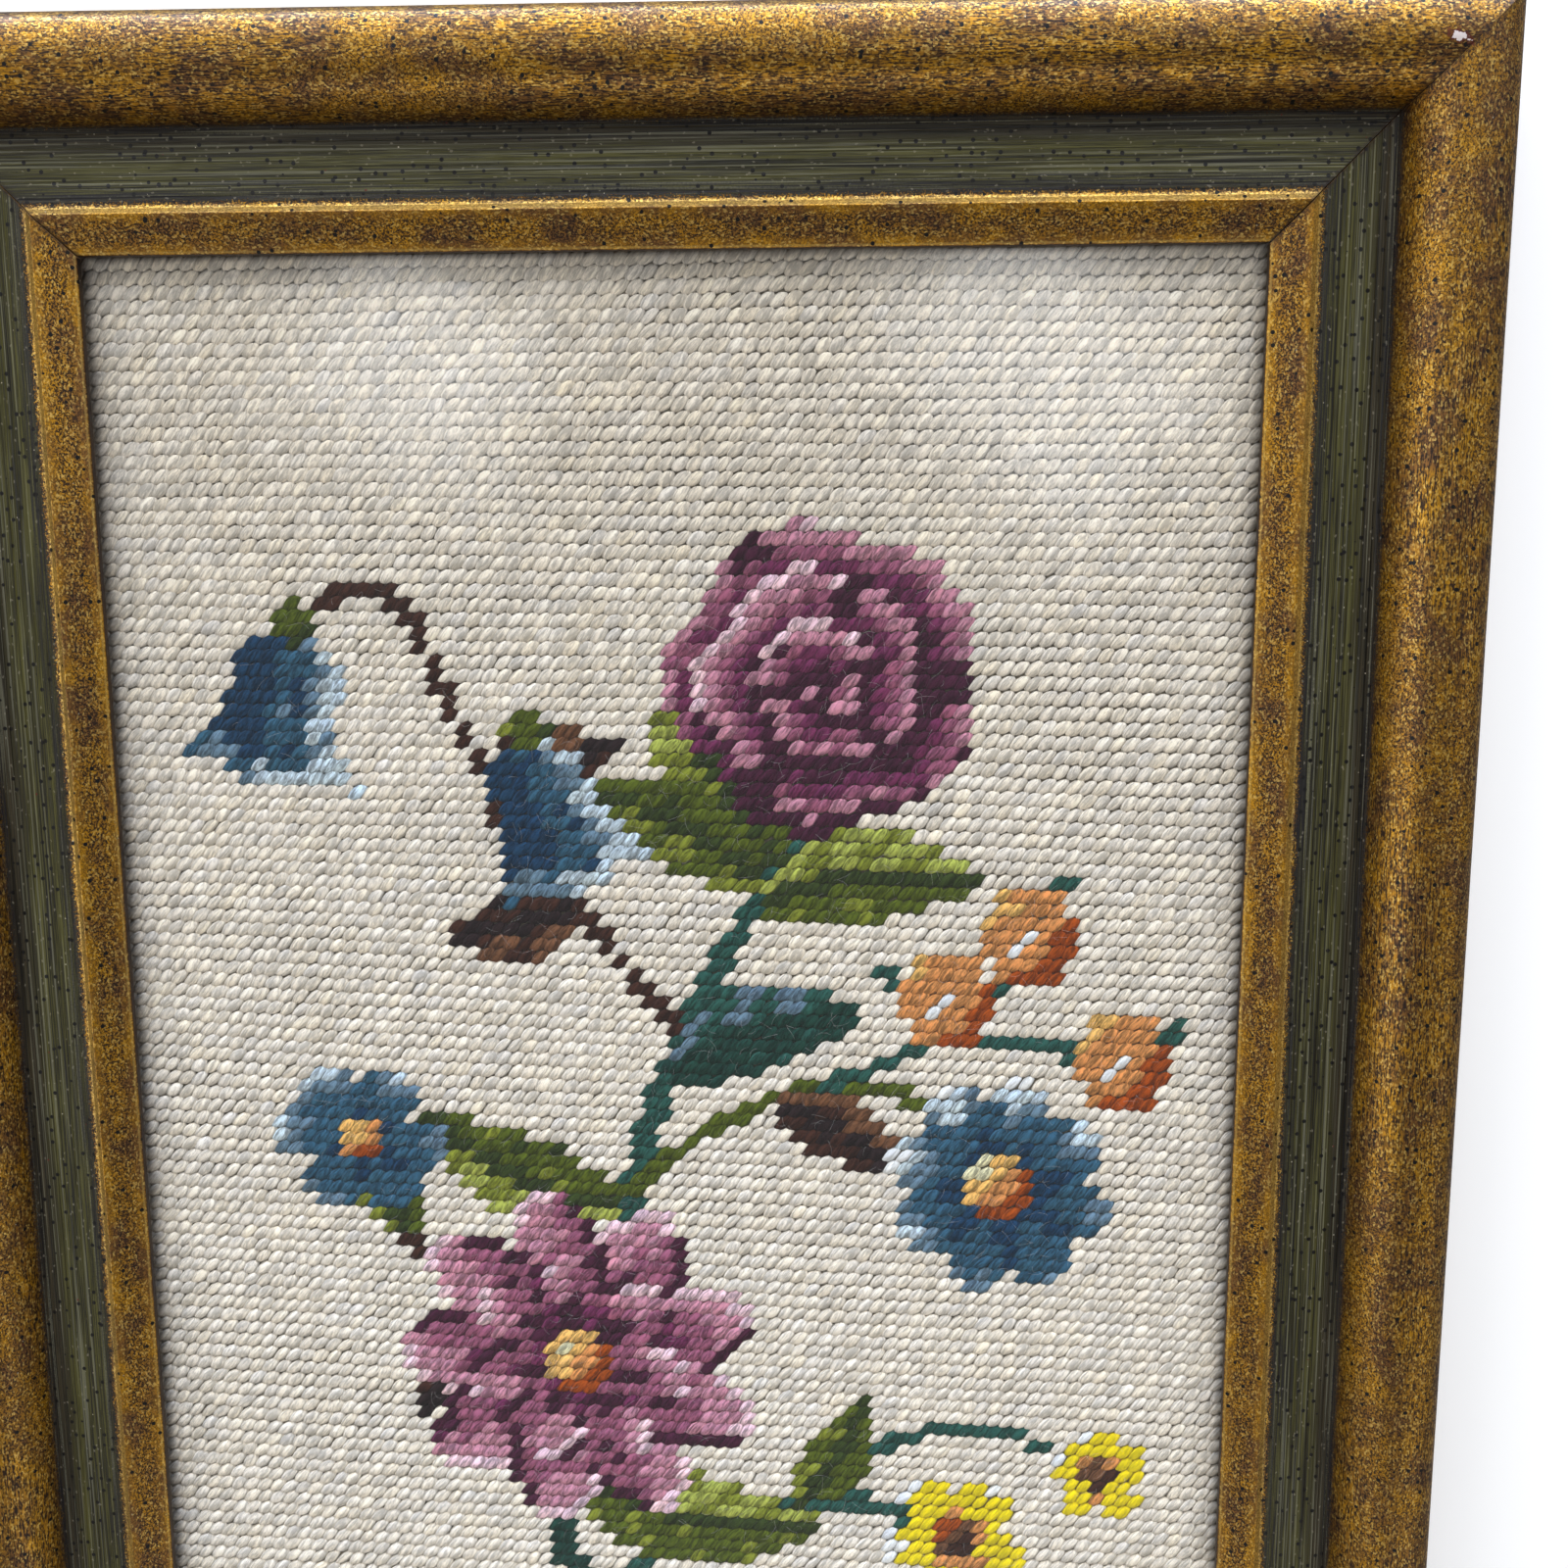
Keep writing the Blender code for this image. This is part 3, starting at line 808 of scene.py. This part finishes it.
# Asters, yellow daisies and hips
rayed(65, 67, 8.6, 8, "navy navy blue blue sky ice white", GOLDS, turn=12)
rayed(17, 66, 6.4, 6, "navy blue blue sky ice", GOLDS, turn=3)
rayed(17, 113, 8.4, 8, BLUES, GOLDS, turn=4)
rayed(67, 127, 7.6, 7, BLUES, GOLDS, turn=4)
rayed(62, 96, 5.6, 5, YELLOWS, "bark umber rust", turn=20, deep=0.5)
rayed(73, 90, 3.9, 5, YELLOWS, "bark umber", turn=50, deep=0.45)
rayed(23, 137, 5.6, 5, YELLOWS, "bark umber rust", turn=20, deep=0.5)
hip(67, 48, 300)
hip(74, 57, 330)
hip(61, 53, 200)

# The tulip low on the right
for angle, bend, tip in ((102, 1.6, 2), (38, -1.6, 2), (84, 1.2, 1.7), (56, -1.2, 1.7)):
    petal(62, 152, angle, 15, 8, PINKS, bend, tip)


# The stitches are continental tent stitch in one strand of soft wool: each crosses one thread of canvas,
# leaning to the right, plump in the middle and pinched where it dives into its hole. No two are alike, and
# those next to the lip are darkened with painted shade of the lip, along with the dirt that gathers there.
STITCH_LEAN = np.radians(58)
STITCH_HALF_HEIGHT = 1.45 * MM
STITCH_BASE = 7.0 * MM
STITCH_RISE = 0.58 * MM
STITCH_STATIONS = np.array([-0.9, -0.55, 0.0, 0.55, 0.9])
STITCH_NARROWING = np.array([0.56, 0.92, 1.0, 0.92, 0.56])
STITCH_SINKING = np.array([0.56, 0.93, 1.0, 0.97, 0.66])
STITCH_ROUND = np.radians([-20, 25, 68, 112, 155, 200])
STITCH_SKEW = 0.04 * MM
STITCH_SQUARENESS = 0.5
STITCH_UNDERSIDE = -0.2
STITCH_POLE_DEPTH = 0.1 * MM
GROUND_HALF_WIDTH = 1.46 * MM
DYED_HALF_WIDTH = 1.56 * MM
THREAD_HALF_WIDTH = 1.36 * MM
# How far the painted shade of the lip reaches into the work, and where and over what its darkest part comes
# on
LIP_SHADE_WIDTH = 2.6 * MM
DEEP_LIP_SHADE_WIDTH = 1.0 * MM
DEEP_LIP_SHADE_STARTS = 0.3 * MM
GROUND_BANDS = 4
WORK_TOP = 206.6 * MM
STRAND_MAP_SPREAD = 40


def stitch_centres():
    """Where each stitch lies: even columns, and rows that sag to the right as the pulled canvas does."""
    x = (column - (COLUMNS - 1) / 2) * PITCH
    sag = 0.055 * np.clip(row / 60, 0, 1) ** 1.2
    wave = 0.25 * MM * np.sin(x / (31 * MM) + row * 0.21) + 0.14 * MM * np.sin(x / (13 * MM) - row * 0.37)
    y = WORK_TOP - (row + 0.5) * PITCH - sag * x + wave
    return x, y


def stitch_meshes(which, half_width, draw):
    """Points of all stitches marked in which, rings of a sheared superellipse with a pole at each end.

    With them come the faces and the strand map of one stitch.
    """
    x, y = (place[which] for place in stitch_centres())
    count = len(x)

    # No two alike: each varies in its place, width, height, lean, rise and skew
    vary = draw.normal(0, 1, (8, count, 1, 1))
    middle_x = x[:, None, None] + 0.05 * MM * vary[0]
    middle_y = y[:, None, None] + 0.04 * MM * vary[1]
    wide = half_width * (1 + 0.06 * vary[2])
    high = STITCH_HALF_HEIGHT * (1 + 0.03 * vary[3])
    slope = 1 / np.tan(STITCH_LEAN + np.radians(3.5) * vary[4])
    rise = STITCH_RISE * (1 + 0.05 * np.clip(vary[5], -2, 2))

    stations = STITCH_STATIONS[None, :, None]
    turn = STITCH_ROUND[None, None, :]
    side = np.sign(np.cos(turn)) * np.abs(np.cos(turn)) ** STITCH_SQUARENESS
    lift = np.where(np.sin(turn) > 0, np.abs(np.sin(turn)) ** STITCH_SQUARENESS, STITCH_UNDERSIDE)
    ring_x = middle_x + wide * STITCH_NARROWING[None, :, None] * side + slope * high * stations
    ring_y = middle_y + high * stations + 0 * ring_x
    skew = STITCH_SKEW * (1 + 0.8 * vary[6]) * side
    ring_z = STITCH_BASE + rise * STITCH_SINKING[None, :, None] * lift - skew * (lift > 0)
    pole = np.array([-1.0, 1.0])[None, :, None]
    pole_x = middle_x + slope * high * pole
    pole_y = middle_y + high * pole
    pole_z = STITCH_BASE - STITCH_POLE_DEPTH + 0 * pole_x

    rings, around = len(STITCH_STATIONS), len(STITCH_ROUND)
    ring_points = np.stack([ring_x, ring_y, ring_z], -1).reshape(count, rings * around, 3)
    pole_points = np.stack([pole_x, pole_y, pole_z], -1).reshape(count, 2, 3)
    points = np.concatenate([ring_points, pole_points], 1)
    size = points.shape[1]
    quads = skin(rings, around)
    j = np.arange(around)
    after = (j + 1) % around
    near = np.stack([np.full(around, size - 2), after, j], -1)
    far_ring = (rings - 1) * around
    far = np.stack([np.full(around, size - 1), far_ring + j, far_ring + after], -1)

    # The strand map: along the strand and round it
    ring_of, point_of = np.divmod(np.arange(rings * around), around)
    u_of = np.append(STITCH_STATIONS[ring_of], [-1, 1]) * STITCH_HALF_HEIGHT * 1.2
    v_of = np.append(STITCH_ROUND[point_of], [np.pi / 2, np.pi / 2]) * half_width
    return points, quads, np.vstack([near, far]), u_of, v_of


def wool_piece(name, which, half_width, seed, material):
    """One mesh of all the stitches marked in which, each in its own shade of its wool."""
    draw = np.random.default_rng(seed)
    points, quad, fan, u_of, v_of = stitch_meshes(which, half_width, draw)
    count, size = points.shape[:2]
    points = points.reshape(-1, 3)
    start = (np.arange(count) * size)[:, None, None]
    quads = (quad + start).reshape(-1, 4)
    fans = (fan + start).reshape(-1, 3)

    # Wool colours: a shade for each stitch, with painted shade and dirt browning its lower end where the
    # strand dives, and painted shade of the lip, with the dirt there, on the stitches next to it
    base = np.array([linear(colour)[:3] for colour in WOOLS.values()])[chart[which]]
    warmth = np.array([0.008, 0.0, -0.02]) * draw.normal(0, 1, (count, 1))
    tone = np.clip(1 + 0.03 * draw.normal(0, 1, (count, 1)), 0.85, 1.12) + warmth
    lengthways = np.append(np.repeat(STITCH_STATIONS, len(STITCH_ROUND)), [-1, 1])
    # Painted shade: each stitch is darker toward its lower end, away from the light above, and browner there
    # with some dirt
    lower_end_shade = 0.92 + 0.08 * np.clip(lengthways + 0.7, 0, 1.2) / 1.2
    lower_end_shade_tint = np.stack([0 * lower_end_shade, -0.012 * (lengthways < 0), -0.035 * (lengthways < 0)], -1)
    colours = (base * tone)[:, None, :] * (lower_end_shade[:, None] + lower_end_shade_tint)[None]
    # Painted shade: stitches under and next to the lip are darkened as its shade falls on them, with the dirt
    # there
    past_sight = np.maximum(np.abs(points[:, 0]) - SIGHT_X, np.abs(points[:, 1]) - SIGHT_Y)
    lip_shade = 1 - 0.1 * np.clip(1 + past_sight / LIP_SHADE_WIDTH, 0, 1)
    lip_shade = lip_shade - 0.65 * np.clip((past_sight + DEEP_LIP_SHADE_STARTS) / DEEP_LIP_SHADE_WIDTH, 0, 1)
    colours *= lip_shade.reshape(count, size, 1)
    colours = np.concatenate([np.clip(colours, 0, 1), np.ones((count, size, 1))], -1)

    # The strand map lies at a place of its own for each stitch; the bake map is the plan of the work
    strand_map = []
    for place in (u_of, v_of):
        shift = draw.uniform(-STRAND_MAP_SPREAD, STRAND_MAP_SPREAD, (count, 1)) * PITCH
        strand_map.append(np.append(place[quad].ravel() + shift, place[fan].ravel() + shift))
    corners = np.append(quads, fans)
    low, high = points.min(0)[:2], points.max(0)[:2]
    plan = BAKE_MARGIN / 2 + (1 - BAKE_MARGIN) * (points[corners, :2] - low) / (high - low)
    maps = {"strand": np.stack(strand_map, -1), "OFBake": plan}
    piece = new_piece(name, points, [quads, fans], [material], maps, colours.reshape(-1, 4))
    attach(piece, "root")
    return piece


def wool(name, roughness, fuzz, heather):
    """Strands of fibre and ply, as two noises drawn out along the strand, paler and darker by heather."""
    material, tree = finish(name)
    dyed = add(tree, "Attribute", {}, attribute_name="wool")
    place = add(tree, "UVMap", {}, uv_map="strand")
    twist = {"Vector": place, "Rotation": (0, 0, np.radians(14)), "Scale": (0.16, 1, 1)}
    twisted = add(tree, "Mapping", twist)

    # A fibre is 0.03 mm thick, too fine to show, so locks of fibres are drawn, 0.26 mm wide
    fine = {"Vector": twisted, "Scale": per(0.26), "Detail": 2.0, "Roughness": 0.7}
    fibre = add(tree, "TexNoise", fine, noise_dimensions="2D")
    ply = add(tree, "TexNoise", {"Vector": twisted, "Scale": per(0.8), "Detail": 1.0}, noise_dimensions="2D")
    strands = add(tree, "Math", {0: fibre, 1: ply}, operation="ADD")
    tone = {"Value": strands, "From Min": 0.8, "From Max": 1.2, "To Min": 1 - heather}
    tone = add(tree, "MapRange", {**tone, "To Max": 1 + 0.8 * heather})
    surface = {
        "Base Color": add(tree, "VectorMath", {0: dyed, "Scale": tone}, operation="SCALE"),
        "Roughness": roughness,
        "Specular IOR Level": 0.08,
        "Sheen Weight": fuzz,
        "Sheen Roughness": 0.5,
        "Diffuse Roughness": 1.0,
        "Normal": add(tree, "Bump", {"Height": strands, "Strength": 1.0, "Distance": 0.3 * MM}),
    }
    add(tree, "OutputMaterial", {"Surface": add(tree, "BsdfPrincipled", surface)})
    return material


FAMILIES = {
    "mauve_wool": "plum mulberry mauve rose pink",
    "blue_wool": "navy blue sky ice",
    "green_wool": "fir olive moss lime spruce teal",
    "brown_and_gold_wool": "soot bark umber rust amber gold straw",
    "bright_thread": "white yellow",
}

# Tapestry wool is matt and faintly fuzzy, and its shades are heathered. Pearl cotton is smooth, with a shine
ground_wool = wool("cream tapestry wool", 0.95, 0.06, 0.28)
dyed_wool = wool("dyed tapestry wool", 0.95, 0.03, 0.52)
pearl_cotton = wool("pearl cotton", 0.5, 0.07, 0.2)

# The ground is parted into bands of rows and the rest into families of colour, a piece each
band_of_row = np.clip(row * GROUND_BANDS // ROWS, 0, GROUND_BANDS - 1)
for band in range(GROUND_BANDS):
    which = (chart == 0) & (band_of_row == band)
    name = f"ground_wool_{band + 1}"
    wool_piece(name, which, GROUND_HALF_WIDTH, 20 + band, ground_wool)
for seed, (name, wools) in enumerate(FAMILIES.items()):
    which = np.isin(chart, [NAMES.index(wool_name) for wool_name in wools.split()])
    is_thread = name == "bright_thread"
    half_width = THREAD_HALF_WIDTH if is_thread else DYED_HALF_WIDTH
    material = pearl_cotton if is_thread else dyed_wool
    wool_piece(name, which, half_width, 40 + seed, material)


# Stray fibres: short hairs that have worked loose from the wool, lying curled on it under the glass.
# They show as fine pale lines on the dark wools.
HAIRS_ON_FLOWERS = 2200
HAIRS_ON_GROUND = 700
HAIR_RADIUS = 0.022 * MM
HAIR_STEPS = 5
HAIR_LENGTHS_MM = (1.2, 4.0)
HAIR_CURL = 1.3
HAIR_COLOUR = linear("#D8CFC8")


def stray_fibres(draw):
    """Three-sided tubes along circular arcs that rise from a stitch's flank and lie over its neighbours."""
    x, y = stitch_centres()
    flowers = np.flatnonzero(chart.ravel() > 0)
    ground = np.flatnonzero(chart.ravel() == 0)
    roots = np.append(draw.choice(flowers, HAIRS_ON_FLOWERS), draw.choice(ground, HAIRS_ON_GROUND))
    count = len(roots)
    start_x = x.ravel()[roots] + draw.uniform(-0.8, 0.8, count) * MM
    start_y = y.ravel()[roots] + draw.uniform(-0.8, 0.8, count) * MM
    length = draw.uniform(*HAIR_LENGTHS_MM, count)[:, None] * MM
    heading = draw.uniform(0, 2 * np.pi, count)[:, None]
    curl = draw.normal(0, HAIR_CURL, count)[:, None]
    share = np.linspace(0, 1, HAIR_STEPS)[None]
    angle = heading + curl * share
    step = length / (HAIR_STEPS - 1)
    reach_x, reach_y = SIGHT_X + 2 * MM, SIGHT_Y + 2 * MM
    line_x = np.clip(start_x[:, None] + np.cumsum(np.cos(angle) * step, 1), -reach_x, reach_x)
    line_y = np.clip(start_y[:, None] + np.cumsum(np.sin(angle) * step, 1), -reach_y, reach_y)
    lift = draw.uniform(0.0, 0.16, (count, 1)) + 0.12 * np.sin(np.pi * share)
    line_z = STITCH_BASE + STITCH_RISE + lift * MM
    turn = np.radians([90, 210, 330])[None, None]
    thin = HAIR_RADIUS * (1 - 0.6 * share)[..., None]
    px = line_x[..., None] - thin * np.cos(turn) * np.sin(angle)[..., None]
    py = line_y[..., None] + thin * np.cos(turn) * np.cos(angle)[..., None]
    pz = line_z[..., None] + thin * np.sin(turn)
    points = np.stack([px, py, pz], -1).reshape(-1, 3)
    size = HAIR_STEPS * 3
    begin = (np.arange(count) * size)[:, None, None]
    sides = (skin(HAIR_STEPS, 3) + begin).reshape(-1, 4)
    near = (np.array([[2, 1, 0]]) + begin).reshape(-1, 3)
    far = (np.array([[size - 3, size - 2, size - 1]]) + begin).reshape(-1, 3)
    wool_colour = np.array([linear(colour) for colour in WOOLS.values()])[chart.ravel()[roots]]
    colours = 0.45 * wool_colour + 0.55 * np.array(HAIR_COLOUR)
    return points, sides, np.vstack([near, far]), np.repeat(colours, size, 0)


def loose_wool():
    """A single fibre's colour, soft and slightly bright at its edges."""
    material, tree = finish("loose wool fibre")
    dyed = add(tree, "Attribute", {}, attribute_name="wool")
    shader = add(tree, "BsdfPrincipled", {"Base Color": dyed, "Roughness": 0.6, "Sheen Weight": 0.4})
    add(tree, "OutputMaterial", {"Surface": shader})
    return material


hair_points, hair_sides, hair_ends, hair_colours = stray_fibres(np.random.default_rng(7))
hair_faces = [hair_sides, hair_ends]
hairs = new_piece("stray_wool_fibres", hair_points, hair_faces, [loose_wool()], colours=hair_colours)
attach(hairs, "root")


# Picture glass: 2 mm soda-lime sheet laid in the rebate on the wool. Its etched face spreads what it
# mirrors into soft patches, and it hides nothing.
GLASS_TINT = linear("#FDFEFD")
MIRRORED_HEAD_ON = 0.04
GLASS_BLUR = 0.14


def picture_glass():
    """A clear pane: the mirrored share is 0.04 head on, and rises to 1 by the fifth power of the slant."""
    material, tree = finish("etched picture glass")
    mirrored = add(tree, "BsdfGlossy", {"Color": linear("#FFFFFF"), "Roughness": GLASS_BLUR})
    through = add(tree, "BsdfTransparent", {"Color": GLASS_TINT})
    slant = add(tree, "LayerWeight", {"Blend": 0.5}).outputs["Facing"]
    power = add(tree, "Math", {0: slant, 1: 5.0}, operation="POWER")
    share = add(tree, "MapRange", {"Value": power, "To Min": MIRRORED_HEAD_ON})
    both = add(tree, "MixShader", {"Fac": share, 1: through, 2: mirrored})
    add(tree, "OutputMaterial", {"Surface": both})
    return material


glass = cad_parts["picture_glass"]
glass.data.materials.clear()
glass.data.materials.append(picture_glass())
glass.visible_shadow = False
glass.visible_diffuse = False


# The floor, lights and camera: a plain pale surface, soft light from beyond the top and from the left with
# a little from the right and the front, and two small ceiling panels that the glass mirrors. The camera is
# at the photograph's angle to the picture's face.
FLOOR_SIZE = 6.0
CAMERA_PLACE = (0.0264, 0.1492, 0.2741)
CAMERA_TURN = np.radians([-8.45, 1.46, -0.35])
CAMERA_LENS = 33.75


def pale_floor():
    """Matt white card, faintly lit from below as on a light table."""
    material, tree = finish("matt white card on a light table")
    white = {"Base Color": linear("#F4F3F1"), "Roughness": 0.9, "Emission Color": linear("#FFFFFF")}
    shader = add(tree, "BsdfPrincipled", {**white, "Emission Strength": 0.25})
    add(tree, "OutputMaterial", {"Surface": shader.outputs["BSDF"]})
    return material


half = FLOOR_SIZE / 2
floor_corners = [(-half, -half, 0), (half, -half, 0), (half, half, 0), (-half, half, 0)]
floor = new_piece("floor", floor_corners, [np.array([[0, 1, 2, 3]])], [pale_floor()])
floor.location.z = -0.2 * MM
floor.visible_glossy = False


def soft_light(name, place, target, size, power, tint):
    """A rectangular light at place, turned to face target."""
    lamp = bpy.data.lights.new(name, "AREA")
    lamp.shape = "RECTANGLE"
    lamp.size, lamp.size_y = size
    lamp.energy = power
    lamp.color = linear(tint)[:3]
    holder = bpy.data.objects.new(name, lamp)
    bpy.context.scene.collection.objects.link(holder)
    holder.location = place
    holder.rotation_euler = (Vector(target) - Vector(place)).to_track_quat("-Z", "Y").to_euler()


soft_light("window", (0, 1.35, 0.9), (0, 0.05, 0), (3.0, 1.0), 31, "#F6F9FF")
soft_light("low_window", (0, 1.5, 0.16), (0, 0.05, 0), (2.6, 0.3), 42, "#C8DCFF")
soft_light("left_panel", (-1.4, 0.0, 0.85), (0, 0.05, 0), (1.6, 1.4), 8.5, "#FFFDFA")
soft_light("right_panel", (1.1, -0.15, 0.85), (0, 0.05, 0), (1.2, 0.6), 0.8, "#FFFDFA")
soft_light("front_panel", (0.1, -0.9, 0.6), (0, 0.05, 0), (1.6, 0.6), 2.8, "#FFFDFA")
soft_light("left_ceiling_panel", (-0.31, 0.31, 1.0), (-0.1, 0.15, 0), (0.15, 0.17), 0.2, "#F4F8FF")
soft_light("right_ceiling_panel", (0.21, 0.31, 1.0), (0.07, 0.15, 0), (0.24, 0.17), 0.32, "#F4F8FF")

world = bpy.data.worlds.new("studio")
world.use_nodes = True
world.node_tree.nodes["Background"].inputs["Color"].default_value = linear("#EDEFF2")
world.node_tree.nodes["Background"].inputs["Strength"].default_value = 0.26
bpy.context.scene.world = world
bpy.context.scene.view_settings.view_transform = "Standard"

camera_data = bpy.data.cameras.new("camera")
camera_data.lens = CAMERA_LENS
camera_data.clip_start = 0.01
camera = bpy.data.objects.new("camera", camera_data)
camera.location = CAMERA_PLACE
camera.rotation_euler = CAMERA_TURN
bpy.context.scene.collection.objects.link(camera)
bpy.context.scene.camera = camera
